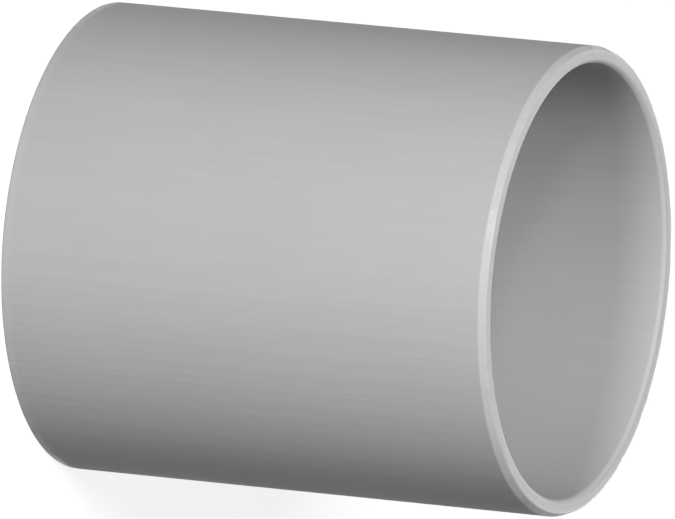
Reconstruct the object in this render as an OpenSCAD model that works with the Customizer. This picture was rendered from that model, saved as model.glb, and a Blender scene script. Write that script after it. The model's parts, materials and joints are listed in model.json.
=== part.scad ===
// Plain sleeve coupler for plastic pipe: one moulded piece with a socket in each end.
// The two pipes are pushed in from the ends and stop against a low ring at mid-length.
// It stands on its lower end, centred on the Z axis. Lengths are in millimetres.

/* [Sockets] */
// Outside diameter of the pipes that the sockets take
pipe_od = 110; // [50:1:200]
// Gap between a pipe and its socket, on each side
pipe_clearance = 0.2; // [0.1:0.05:0.5]
// Depth of each socket, from the end of the coupler to the stop ring
socket_depth = 64; // [30:1:120]
// Thickness of the wall around the sockets
wall = 4.4; // [3.4:0.1:12]

/* [Stop ring] */
// Height of the ring above the wall of the socket
stop_height = 3; // [1:0.1:6]
// Width of the ring along the axis
stop_width = 5; // [2:0.1:12]
// Radius on the two edges of the ring
stop_edge = 0.8; // [0.2:0.1:0.9]

/* [End edges] */
// Height along the axis of the bevel on the outer edge of the upper end
bevel_height = 1.9; // [0.5:0.1:3]
// Width of that bevel across the end face
bevel_width = 0.8; // [0.2:0.1:1.6]
// Radius on the outer edge of the lower end, which has no bevel
lower_edge = 0.4; // [0.2:0.1:1.6]
// Radius on the inner edge of each end, where a pipe goes in
mouth_edge = 1.3; // [0.4:0.1:1.6]

/* [Hidden] */
$fn = 180;
edge_fn = 48;

socket_r = pipe_od / 2 + pipe_clearance;
outer_r = socket_r + wall;
passage_r = socket_r - stop_height;
body_length = 2 * socket_depth + stop_width;
cut_margin = 1;

// What lies outside an arc at the corner of a section. The corner is at the origin
// and the section lies towards +X and +Y from it.
module corner_cut(radius) {
    difference() {
        translate([-cut_margin, -cut_margin])
            square(radius + cut_margin);
        translate([radius, radius])
            circle(r = radius, $fn = edge_fn);
    }
}

// What lies outside the bevel on the outer edge of an end. The end is at Y = 0.
module bevel_cut() {
    polygon([
        [outer_r - bevel_width, 0],
        [outer_r, bevel_height],
        [outer_r + cut_margin, bevel_height],
        [outer_r + cut_margin, -cut_margin],
        [outer_r - bevel_width, -cut_margin],
    ]);
}

// What each end takes out of the section: the socket, the rounding of its mouth and the
// rounding of the ring's near edge. The end is at Y = 0.
module end_cuts() {
    translate([passage_r - cut_margin, -cut_margin])
        square([stop_height + cut_margin, socket_depth + cut_margin]);
    translate([socket_r, 0])
        corner_cut(mouth_edge);
    translate([passage_r, socket_depth])
        corner_cut(stop_edge);
}

// Section of the wall on one side of the axis, from end to end. The ends differ only in
// their outer edge.
module wall_section() {
    difference() {
        translate([passage_r, 0])
            square([outer_r - passage_r, body_length]);
        end_cuts();
        translate([outer_r, 0])
            mirror([1, 0])
                corner_cut(lower_edge);
        translate([0, body_length])
            mirror([0, 1]) {
                end_cuts();
                bevel_cut();
            }
    }
}

// The whole coupler: its section turned about the axis
module coupler_body() {
    color("silver")
        rotate_extrude()
            wall_section();
}

coupler_body();
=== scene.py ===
import json
import math

import bpy
from bpy.props import FloatProperty
from bpy.props import FloatVectorProperty
from bpy.props import IntProperty
from bpy.props import PointerProperty
from mathutils import Matrix
from mathutils import Vector


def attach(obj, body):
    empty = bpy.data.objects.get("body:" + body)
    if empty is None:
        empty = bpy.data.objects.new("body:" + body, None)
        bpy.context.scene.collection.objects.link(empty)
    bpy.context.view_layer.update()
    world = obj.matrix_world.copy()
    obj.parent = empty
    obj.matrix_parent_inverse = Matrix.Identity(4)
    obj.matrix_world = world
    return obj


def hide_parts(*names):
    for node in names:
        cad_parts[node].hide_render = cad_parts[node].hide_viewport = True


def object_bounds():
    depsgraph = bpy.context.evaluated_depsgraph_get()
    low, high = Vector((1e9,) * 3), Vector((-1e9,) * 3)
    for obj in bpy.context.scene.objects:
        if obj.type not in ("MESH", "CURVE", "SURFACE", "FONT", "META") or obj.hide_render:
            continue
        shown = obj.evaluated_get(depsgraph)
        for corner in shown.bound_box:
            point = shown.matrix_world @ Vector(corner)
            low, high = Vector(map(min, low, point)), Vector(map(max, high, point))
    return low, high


bl_info = {
    "name": "Pipe Coupler",
    "version": (1, 0, 0),
    "blender": (4, 5, 0),
    "location": "3D View > Sidebar > Coupler",
    "description": "Builds a moulded pipe coupler and the studio stage that it stands on",
    "category": "Add Mesh",
}

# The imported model, which gives the coupler's length, its outer radius and its sockets
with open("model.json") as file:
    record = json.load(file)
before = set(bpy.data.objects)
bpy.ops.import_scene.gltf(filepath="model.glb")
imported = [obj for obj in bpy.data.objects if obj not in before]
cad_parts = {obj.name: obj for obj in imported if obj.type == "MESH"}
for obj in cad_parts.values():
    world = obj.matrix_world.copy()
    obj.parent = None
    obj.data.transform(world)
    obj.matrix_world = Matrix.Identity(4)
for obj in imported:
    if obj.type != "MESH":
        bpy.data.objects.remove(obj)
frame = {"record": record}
CAD_NODE = "coupler_body"
CAD_LOW, CAD_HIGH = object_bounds()
SOCKETS = {mount["name"]: mount for mount in frame["record"]["mounts"]}
MILLIMETRE = 0.001

# The photograph's frame, in pixels, and where the middle of the near end lies in it
PICTURE_WIDTH = 675
PICTURE_HEIGHT = 519
NEAR_END_X = 579.8
NEAR_END_Y = 281.8
SENSOR_WIDTH = 36.0

# Steps in the section: along each wall, around a rounded corner and around a softened one
WALL_STEPS = 8
CORNER_STEPS = 12
BLEND_STEPS = 6
# How far from a corner its guard points lie, which keep the shading of the flat beside it even
GUARD = 0.00008

# Angle between two facets, in degrees, past which the edge between them is shaded as a sharp one
SHARP_ANGLE = 40

# Width across the spots of each part of the plastic's look, in metres, and how long the flow
# lines are for their width
CLOUD_GRAIN = 0.03
FLOW_GRAIN = 0.0016
FLOW_LENGTH = 40.0
PEEL_GRAIN = 0.0011
RUB_GRAIN = 0.004
SPECK_SPACING = 0.013
# How much the clouds change the roughness, and how high the flow lines stand beside the peel
CLOUD_ROUGHNESS = 0.12
FLOW_RELIEF = 3.0

# Half the width of the floor, in metres
FLOOR_HALF = 3.0

# Rays that show the background, besides those from the camera
SHOWING_RAYS = ("Is Glossy Ray", "Is Transmission Ray")


def end_axis_point():
    """The middle of the upper end, which is the near end in the picture."""
    return Vector((0.0, 0.0, CAD_HIGH.z))


def coupler_length():
    """Length of the coupler along its axis."""
    return CAD_HIGH.z - CAD_LOW.z


def outer_radius():
    """The narrower half width of the CAD box, so that the round body stays inside it."""
    width = min(CAD_HIGH.x - CAD_LOW.x, CAD_HIGH.y - CAD_LOW.y)
    return width / 2


def socket_radius():
    """The radius that the record gives for the sockets."""
    return SOCKETS["upper_socket"]["dims"]["r_mm"] * MILLIMETRE


class CouplerShape(bpy.types.PropertyGroup):
    """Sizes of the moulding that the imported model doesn't name."""

    stop_height: FloatProperty(
        name="Stop height",
        description="How far the stop ring stands in from the wall of the socket",
        default=0.003,
        unit="LENGTH",
    )
    stop_width: FloatProperty(
        name="Stop width",
        description="Width of the stop ring along the axis",
        default=0.005,
        unit="LENGTH",
    )
    stop_edge: FloatProperty(
        name="Stop edge",
        description="Radius on the two edges of the stop ring",
        default=0.0008,
        unit="LENGTH",
    )
    bevel_height: FloatProperty(
        name="Bevel height",
        description="Height along the axis of the bevel on the upper end's outer edge",
        default=0.0019,
        unit="LENGTH",
    )
    bevel_width: FloatProperty(
        name="Bevel width",
        description="Width of that bevel across the end face",
        default=0.0008,
        unit="LENGTH",
    )
    bevel_blend: FloatProperty(
        name="Bevel blend",
        description="Radius that softens the two corners of the bevel",
        default=0.0006,
        unit="LENGTH",
    )
    lower_edge: FloatProperty(
        name="Lower edge",
        description="Radius on the lower end's outer edge, which has no bevel",
        default=0.0004,
        unit="LENGTH",
    )
    mouth_edge: FloatProperty(
        name="Mouth edge",
        description="Radius on the inner edge of each end",
        default=0.0013,
        unit="LENGTH",
    )
    facets: IntProperty(
        name="Facets",
        description="Number of steps around the coupler",
        default=576,
        min=24,
    )


class CouplerFinish(bpy.types.PropertyGroup):
    """Colour and surface of the plastic."""

    plastic_color: FloatVectorProperty(
        name="Plastic colour",
        description="Colour of the grey plastic",
        subtype="COLOR",
        size=3,
        min=0.0,
        max=1.0,
        default=(0.62, 0.62, 0.62),
    )
    cloud_depth: FloatProperty(
        name="Clouds",
        description="How much the colour drifts in broad faint clouds",
        subtype="FACTOR",
        default=0.03,
        min=0.0,
        max=1.0,
    )
    flow_depth: FloatProperty(
        name="Flow lines",
        description="How strongly faint lines run along the coupler, as the plastic flowed",
        subtype="FACTOR",
        default=0.07,
        min=0.0,
        max=1.0,
    )
    speck_depth: FloatProperty(
        name="Specks",
        description="How much darker the few small specks are",
        subtype="FACTOR",
        default=0.08,
        min=0.0,
        max=1.0,
    )
    # Lightens the outer edges: partly rub wear, partly a painted highlight on the bevel.
    rub_and_highlight_depth: FloatProperty(
        name="Edge rub",
        description="How much lighter the outer edges are where they are rubbed",
        subtype="FACTOR",
        default=0.06,
        min=0.0,
        max=1.0,
    )
    rub_polish: FloatProperty(
        name="Edge polish",
        description="How much less rough the outer edges are where they are rubbed",
        subtype="FACTOR",
        default=0.36,
        min=0.0,
        max=1.0,
    )
    roughness: FloatProperty(
        name="Roughness",
        description="How matt the moulded skin is",
        subtype="FACTOR",
        default=0.56,
        min=0.0,
        max=1.0,
    )
    gloss_level: FloatProperty(
        name="Gloss level",
        description="How strongly the skin mirrors, where 0.5 is the usual level of plastic",
        subtype="FACTOR",
        default=0.2,
        min=0.0,
        max=1.0,
    )
    peel_height: FloatProperty(
        name="Peel height",
        description="Height of the fine uneven grain that the mould leaves",
        default=0.00002,
        unit="LENGTH",
    )


class CouplerStage(bpy.types.PropertyGroup):
    """Camera, lamps and floor."""

    focal_length: FloatProperty(
        name="Focal length",
        description="Focal length of the camera, in pixels of the picture",
        default=20000.0,
    )
    radius_in_picture: FloatProperty(
        name="Radius in the picture",
        description="Outer radius of the near end, in pixels of the picture",
        default=236.7,
    )
    sight_angle: FloatProperty(
        name="Sight angle",
        description="Angle between the coupler's axis and the line of sight",
        subtype="ANGLE",
        default=math.radians(66.5),
    )
    tilt_angle: FloatProperty(
        name="Tilt in the picture",
        description="How far the axis slopes down to the right in the picture",
        subtype="ANGLE",
        default=math.radians(5.52),
    )
    lamp_distance: FloatProperty(
        name="Lamp distance",
        description="How far each lamp stands from the coupler",
        default=2.0,
        unit="LENGTH",
    )
    key_level: FloatProperty(
        name="Key lamp",
        description="Brightness of a white card that faces the key lamp",
        default=0.65,
        min=0.0,
    )
    front_level: FloatProperty(
        name="Front lamp",
        description="Brightness of a white card that faces the low front lamp",
        default=0.3,
        min=0.0,
    )
    glint_level: FloatProperty(
        name="Glint lamp",
        description="Brightness of a white card that faces the small lamp that lights up the bevel",
        default=0.1,
        min=0.0,
    )
    back_level: FloatProperty(
        name="Back lamp",
        description="Brightness of a white card that faces the lamp behind the coupler",
        default=0.28,
        min=0.0,
    )
    sky_strength: FloatProperty(
        name="Sky strength",
        description="Strength of the even light from all around",
        default=0.004,
        min=0.0,
    )
    floor_glow: FloatProperty(
        name="Floor glow",
        description="How bright the floor shows in the picture where no lamp reaches it",
        default=0.84,
        min=0.0,
    )
    floor_shade: FloatProperty(
        name="Floor shade",
        description="How much of the lamps' light the floor shows, and so how dark the shadow is",
        subtype="FACTOR",
        default=0.35,
        min=0.0,
        max=1.0,
    )
    floor_bounce: FloatProperty(
        name="Floor bounce",
        description="How much of the lamps' light the floor sends back to the coupler",
        subtype="FACTOR",
        default=0.05,
        min=0.0,
        max=1.0,
    )


def arc(centre, radius, start, end, steps):
    """Points of a round corner in the section, as distance from the axis and height."""
    points = []
    for step in range(steps + 1):
        angle = math.radians(start + (end - start) * step / steps)
        x = centre[0] + radius * math.cos(angle)
        z = centre[1] + radius * math.sin(angle)
        points.append((x, z))
    return points


def straight(start, end, steps):
    """Points between two places in the section, without the places themselves."""
    points = []
    for step in range(1, steps):
        share = step / steps
        x = start[0] + (end[0] - start[0]) * share
        z = start[1] + (end[1] - start[1]) * share
        points.append((x, z))
    return points


def blended(before, corner, after, radius):
    """Points of a softened corner between two straight stretches, with a guard point on each."""
    corner = Vector(corner)
    inward = (corner - Vector(before)).normalized()
    onward = (Vector(after) - corner).normalized()
    reach = radius * math.tan(inward.angle(onward) / 2)
    start = corner - inward * reach
    end = corner + onward * reach
    points = [start - inward * GUARD]
    for step in range(BLEND_STEPS + 1):
        share = step / BLEND_STEPS
        points.append(start.lerp(corner, share).lerp(corner.lerp(end, share), share))
    points.append(end + onward * GUARD)
    return [tuple(point) for point in points]


def bevelled_edge(shape, length):
    """An end's outer edge with the bevel, from the wall to the flat ring. The end is at height 0."""
    outer = outer_radius()
    wall_corner = (outer, shape.bevel_height)
    face_corner = (outer - shape.bevel_width, 0.0)
    points = blended((outer, length / 2), wall_corner, face_corner, shape.bevel_blend)
    points += blended(wall_corner, face_corner, (socket_radius(), 0.0), shape.bevel_blend)
    return points


def rounded_edge(shape):
    """An end's outer edge with the small rounding. The end is at height 0."""
    outer = outer_radius()
    edge = shape.lower_edge
    points = [(outer, edge + GUARD)]
    points += arc((outer - edge, edge), edge, 0, -90, CORNER_STEPS)
    points.append((outer - edge - GUARD, 0.0))
    return points


def half_outline(shape, length, outer_edge):
    """The section's outline from the wall at mid-length round one end, at height 0, to the stop."""
    bore = socket_radius()
    mouth = shape.mouth_edge
    stop = shape.stop_edge
    shoulder = (length - shape.stop_width) / 2
    passage = bore - shape.stop_height
    middle = (outer_radius(), length / 2)
    mouth_corner = arc((bore + mouth, mouth), mouth, -90, -180, CORNER_STEPS)
    stop_corner = arc((passage + stop, shoulder + stop), stop, -90, -180, CORNER_STEPS)
    outline = straight(middle, outer_edge[0], WALL_STEPS)
    outline += outer_edge
    outline.append((bore + mouth + GUARD, 0.0))
    outline += mouth_corner
    outline.append((bore, mouth + GUARD))
    outline += straight((bore, mouth + GUARD), (bore, shoulder), WALL_STEPS)
    outline.append((bore, shoulder))
    outline += straight((bore, shoulder), stop_corner[0], 3)
    outline += stop_corner
    outline += straight(stop_corner[-1], (passage, length / 2), 3)
    return outline


def whole_outline(shape, length):
    """The closed outline of the section. The two ends differ only in their outer edge."""
    lower = half_outline(shape, length, rounded_edge(shape))
    turned_over = half_outline(shape, length, bevelled_edge(shape, length))
    middle_of_wall = (outer_radius(), length / 2)
    middle_of_stop = (socket_radius() - shape.stop_height, length / 2)
    upper = [(x, length - z) for x, z in reversed(turned_over)]
    return [middle_of_wall] + lower + [middle_of_stop] + upper


def turned_mesh(name, outline, facets):
    """A closed mesh made by turning an outline about the Z axis."""
    count = len(outline)
    vertices = []
    for turn in range(facets):
        angle = 2 * math.pi * turn / facets
        for x, z in outline:
            vertices.append((x * math.cos(angle), x * math.sin(angle), z))
    faces = []
    for turn in range(facets):
        here = turn * count
        there = (turn + 1) % facets * count
        for point in range(count):
            after = (point + 1) % count
            faces.append((here + point, here + after, there + after, there + point))
    mesh = bpy.data.meshes.new(name)
    mesh.from_pydata(vertices, [], faces)
    mesh.update()
    return mesh


class COUPLER_OT_body(bpy.types.Operator):
    """Turn the moulded body about its axis, with a socket in each end and the stop between them"""

    bl_idname = "coupler.body"
    bl_label = "Moulded Body"

    def execute(self, context):
        shape = context.scene.coupler_shape
        outline = whole_outline(shape, coupler_length())
        mesh = turned_mesh("moulded_sleeve", outline, shape.facets)
        mesh.shade_smooth()
        mesh.set_sharp_from_angle(angle=math.radians(SHARP_ANGLE))
        sleeve = bpy.data.objects.new("moulded_sleeve", mesh)
        context.scene.collection.objects.link(sleeve)
        mesh.materials.append(moulded_plastic(context.scene))
        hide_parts(CAD_NODE)
        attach(sleeve, "root")
        return {"FINISHED"}


def noise(tree, place, grain, detail, lengthening=1.0):
    """Noise with spots one grain across, in metres, and drawn out along the axis."""
    mapping = tree.nodes.new("ShaderNodeMapping")
    mapping.inputs["Scale"].default_value = (1 / grain, 1 / grain, 1 / (grain * lengthening))
    texture = tree.nodes.new("ShaderNodeTexNoise")
    texture.inputs["Scale"].default_value = 1.0
    texture.inputs["Detail"].default_value = detail
    tree.links.new(place, mapping.inputs["Vector"])
    tree.links.new(mapping.outputs["Vector"], texture.inputs["Vector"])
    return texture.outputs["Fac"]


def ramp(tree, value, start, end, low=0.0, high=1.0):
    """A smooth step from low, where the value is at start, to high, where it is at end."""
    step = tree.nodes.new("ShaderNodeMapRange")
    step.interpolation_type = "SMOOTHSTEP"
    step.inputs["From Min"].default_value = start
    step.inputs["From Max"].default_value = end
    step.inputs["To Min"].default_value = low
    step.inputs["To Max"].default_value = high
    tree.links.new(value, step.inputs["Value"])
    return step.outputs["Result"]


def calculate(tree, operation, *values):
    """A math node over sockets and numbers."""
    node = tree.nodes.new("ShaderNodeMath")
    node.operation = operation
    for socket, value in zip(node.inputs, values):
        if isinstance(value, float):
            socket.default_value = value
        else:
            tree.links.new(value, socket)
    return node.outputs["Value"]


def rubbed_and_highlit_edge(tree, place, shape):
    """Where the outer edges are rubbed smooth and lighter, the lighter colour being partly a painted
    highlight on the bevel, broken up by a noise of a few millimetres.
    """
    split = tree.nodes.new("ShaderNodeSeparateXYZ")
    tree.links.new(place, split.inputs["Vector"])
    height = split.outputs["Z"]
    depth = calculate(tree, "MINIMUM", height, calculate(tree, "SUBTRACT", coupler_length(), height))
    near_end = ramp(tree, depth, 0.8 * shape.bevel_height, 1.4 * shape.bevel_height, 1.0, 0.0)
    across = calculate(tree, "MULTIPLY", split.outputs["X"], split.outputs["X"])
    square = calculate(tree, "MULTIPLY_ADD", split.outputs["Y"], split.outputs["Y"], across)
    radius = calculate(tree, "SQRT", square)
    bevel_start = outer_radius() - shape.bevel_width
    outside = ramp(tree, radius, bevel_start - shape.bevel_width, bevel_start)
    broken = ramp(tree, noise(tree, place, RUB_GRAIN, 3.0), 0.35, 0.65, 0.3, 1.0)
    return calculate(tree, "MULTIPLY", calculate(tree, "MULTIPLY", near_end, outside), broken)


def specks(tree, place):
    """A few small specks, each about a millimetre across and far from the next."""
    cells = tree.nodes.new("ShaderNodeTexVoronoi")
    cells.inputs["Scale"].default_value = 1 / SPECK_SPACING
    tree.links.new(place, cells.inputs["Vector"])
    return ramp(tree, cells.outputs["Distance"], 0.02, 0.06, 1.0, 0.0)


def moulded_plastic(scene):
    """Grey plastic with a satin skin, faint clouds and flow lines, a few specks, and rubbed edges whose
    lighter colour is partly a painted highlight.
    """
    finish = scene.coupler_finish
    material = bpy.data.materials.new("moulded_plastic")
    material.use_nodes = True
    tree = material.node_tree
    shader = tree.nodes["Principled BSDF"]
    place = tree.nodes.new("ShaderNodeTexCoord").outputs["Object"]
    clouds = noise(tree, place, CLOUD_GRAIN, 4.0)
    flow = noise(tree, place, FLOW_GRAIN, 2.0, FLOW_LENGTH)
    peel = noise(tree, place, PEEL_GRAIN, 3.0)
    rub_and_highlight = rubbed_and_highlit_edge(tree, place, scene.coupler_shape)

    tone = calculate(tree, "MULTIPLY_ADD", clouds, 2 * finish.cloud_depth, 1.0 - finish.cloud_depth)
    tone = calculate(tree, "MULTIPLY_ADD", flow, finish.flow_depth, tone)
    # Outer edges made lighter: partly rub wear, partly a painted highlight on the bevel.
    tone = calculate(tree, "MULTIPLY_ADD", rub_and_highlight, finish.rub_and_highlight_depth, tone)
    tone = calculate(tree, "MULTIPLY_ADD", specks(tree, place), -finish.speck_depth, tone)
    tone = calculate(tree, "SUBTRACT", tone, finish.flow_depth / 2)
    shade = tree.nodes.new("ShaderNodeVectorMath")
    shade.operation = "SCALE"
    shade.inputs[0].default_value = finish.plastic_color
    tree.links.new(tone, shade.inputs["Scale"])
    tree.links.new(shade.outputs["Vector"], shader.inputs["Base Color"])

    rough = calculate(tree, "MULTIPLY_ADD", clouds, CLOUD_ROUGHNESS, finish.roughness - CLOUD_ROUGHNESS / 2)
    rough = calculate(tree, "MULTIPLY_ADD", rub_and_highlight, -finish.rub_polish, rough)
    tree.links.new(rough, shader.inputs["Roughness"])
    shader.inputs["Specular IOR Level"].default_value = finish.gloss_level

    relief = calculate(tree, "MULTIPLY_ADD", flow, FLOW_RELIEF, peel)
    bump = tree.nodes.new("ShaderNodeBump")
    bump.inputs["Distance"].default_value = finish.peel_height
    tree.links.new(relief, bump.inputs["Height"])
    tree.links.new(bump.outputs["Normal"], shader.inputs["Normal"])
    return material


def camera_matrix(stage):
    """Place and turn of a camera that sees the upper end at its place in the picture."""
    elevation = math.pi / 2 - stage.sight_angle
    roll = math.pi / 2 + stage.tilt_angle
    back = Vector((0.0, -math.cos(elevation), math.sin(elevation)))
    level_right = Vector((1.0, 0.0, 0.0))
    level_up = Vector((0.0, math.sin(elevation), math.cos(elevation)))
    right = math.cos(roll) * level_right + math.sin(roll) * level_up
    up = -math.sin(roll) * level_right + math.cos(roll) * level_up
    distance = outer_radius() * stage.focal_length / stage.radius_in_picture
    across = (NEAR_END_X - PICTURE_WIDTH / 2) / stage.focal_length * distance
    down = (NEAR_END_Y - PICTURE_HEIGHT / 2) / stage.focal_length * distance
    place = end_axis_point() - across * right + down * up + distance * back
    turn = Matrix((right, up, back)).transposed().to_4x4()
    return Matrix.Translation(place) @ turn


class COUPLER_OT_stage(bpy.types.Operator):
    """Set up the floor, the lamps, the world and the camera"""

    bl_idname = "coupler.stage"
    bl_label = "Studio Stage"

    def execute(self, context):
        stage = context.scene.coupler_stage
        add_camera(context.scene, stage)
        add_floor(context.scene, stage)
        # Each lamp's name, its angle round from the camera towards +X, its angle above the
        # floor, its width and its level
        add_lamp(context.scene, stage, "key_lamp", -20.0, 51.0, 0.6, stage.key_level)
        add_lamp(context.scene, stage, "front_lamp", 2.0, 5.0, 0.3, stage.front_level)
        add_lamp(context.scene, stage, "glint_lamp", -26.0, 24.0, 0.2, stage.glint_level)
        add_lamp(context.scene, stage, "back_lamp", 180.0, 10.0, 0.6, stage.back_level)
        set_world(context.scene, stage)
        context.scene.view_settings.view_transform = "Standard"
        return {"FINISHED"}


def add_camera(scene, stage):
    """The camera at the photograph's viewing angle."""
    data = bpy.data.cameras.new("camera")
    data.sensor_width = SENSOR_WIDTH
    data.lens = stage.focal_length / PICTURE_WIDTH * SENSOR_WIDTH
    data.clip_end = 100.0
    camera = bpy.data.objects.new("camera", data)
    camera.matrix_world = camera_matrix(stage)
    scene.collection.objects.link(camera)
    scene.camera = camera


def add_floor(scene, stage):
    """A pale floor at the height of the coupler's lower end."""
    half = FLOOR_HALF
    corners = [(-half, -half, 0), (half, -half, 0), (half, half, 0), (-half, half, 0)]
    mesh = bpy.data.meshes.new("floor")
    mesh.from_pydata(corners, [], [(0, 1, 2, 3)])
    floor = bpy.data.objects.new("floor", mesh)
    scene.collection.objects.link(floor)
    mesh.materials.append(floor_paint(stage))


def showing_rays(tree):
    """1 for the rays that show the background, straight or by way of gloss or glass."""
    path = tree.nodes.new("ShaderNodeLightPath")
    shown = path.outputs["Is Camera Ray"]
    for ray in SHOWING_RAYS:
        shown = calculate(tree, "MAXIMUM", shown, path.outputs[ray])
    return shown


def diffuse(tree, level):
    """A plain matt surface of one grey level."""
    shader = tree.nodes.new("ShaderNodeBsdfDiffuse")
    shader.inputs["Color"].default_value = (level, level, level, 1.0)
    return shader.outputs["BSDF"]


def floor_paint(stage):
    """White where it is seen, with the coupler's soft shadow. It sends little light back."""
    material = bpy.data.materials.new("floor_paint")
    material.use_nodes = True
    tree = material.node_tree
    tree.nodes.remove(tree.nodes["Principled BSDF"])
    glow = tree.nodes.new("ShaderNodeEmission")
    glow.inputs["Strength"].default_value = stage.floor_glow
    seen = tree.nodes.new("ShaderNodeAddShader")
    tree.links.new(diffuse(tree, stage.floor_shade), seen.inputs[0])
    tree.links.new(glow.outputs["Emission"], seen.inputs[1])
    choice = tree.nodes.new("ShaderNodeMixShader")
    tree.links.new(showing_rays(tree), choice.inputs["Fac"])
    tree.links.new(diffuse(tree, stage.floor_bounce), choice.inputs[1])
    tree.links.new(seen.outputs["Shader"], choice.inputs[2])
    tree.links.new(choice.outputs["Shader"], tree.nodes["Material Output"].inputs["Surface"])
    return material


def add_lamp(scene, stage, name, round_angle, height_angle, width, level):
    """A round soft lamp that points at the middle of the coupler."""
    turn = math.radians(round_angle)
    rise = math.radians(height_angle)
    direction = Vector((math.sin(turn) * math.cos(rise), -math.cos(turn) * math.cos(rise), math.sin(rise)))
    data = bpy.data.lights.new(name, "AREA")
    data.shape = "DISK"
    data.size = width
    data.energy = level * (math.pi * stage.lamp_distance) ** 2
    lamp = bpy.data.objects.new(name, data)
    lamp.location = Vector((0.0, 0.0, coupler_length() / 2)) + direction * stage.lamp_distance
    lamp.rotation_euler = direction.to_track_quat("Z", "Y").to_euler()
    scene.collection.objects.link(lamp)


def set_world(scene, stage):
    """White where it is seen, and a faint even light on the coupler."""
    world = bpy.data.worlds.new("world")
    scene.world = world
    world.use_nodes = True
    tree = world.node_tree
    sky = tree.nodes["Background"]
    sky.inputs["Color"].default_value = (1.0, 1.0, 1.0, 1.0)
    sky.inputs["Strength"].default_value = stage.sky_strength
    backdrop = tree.nodes.new("ShaderNodeBackground")
    backdrop.inputs["Color"].default_value = (1.0, 1.0, 1.0, 1.0)
    choice = tree.nodes.new("ShaderNodeMixShader")
    tree.links.new(showing_rays(tree), choice.inputs["Fac"])
    tree.links.new(sky.outputs["Background"], choice.inputs[1])
    tree.links.new(backdrop.outputs["Background"], choice.inputs[2])
    tree.links.new(choice.outputs["Shader"], tree.nodes["World Output"].inputs["Surface"])


class COUPLER_PT_panel(bpy.types.Panel):
    """Lists the settings of the shape, the finish and the stage, with the buttons that build the body and
    the stage
    """

    bl_label = "Pipe Coupler"
    bl_idname = "COUPLER_PT_panel"
    bl_space_type = "VIEW_3D"
    bl_region_type = "UI"
    bl_category = "Coupler"

    def draw(self, context):
        layout = self.layout
        scene = context.scene
        for group in (scene.coupler_shape, scene.coupler_finish, scene.coupler_stage):
            column = layout.column()
            for name in group.bl_rna.properties.keys():
                if name not in ("rna_type", "name"):
                    column.prop(group, name)
        layout.operator(COUPLER_OT_body.bl_idname)
        layout.operator(COUPLER_OT_stage.bl_idname)


CLASSES = (
    CouplerShape,
    CouplerFinish,
    CouplerStage,
    COUPLER_OT_body,
    COUPLER_OT_stage,
    COUPLER_PT_panel,
)


def register():
    """Add the classes and the scene's settings."""
    for cls in CLASSES:
        bpy.utils.register_class(cls)
    bpy.types.Scene.coupler_shape = PointerProperty(type=CouplerShape)
    bpy.types.Scene.coupler_finish = PointerProperty(type=CouplerFinish)
    bpy.types.Scene.coupler_stage = PointerProperty(type=CouplerStage)


def unregister():
    """Take the classes and the scene's settings away."""
    del bpy.types.Scene.coupler_shape
    del bpy.types.Scene.coupler_finish
    del bpy.types.Scene.coupler_stage
    for cls in reversed(CLASSES):
        bpy.utils.unregister_class(cls)


def main():
    """Build the coupler and its stage."""
    register()
    bpy.ops.coupler.body()
    bpy.ops.coupler.stage()


if __name__ == "__main__":
    main()
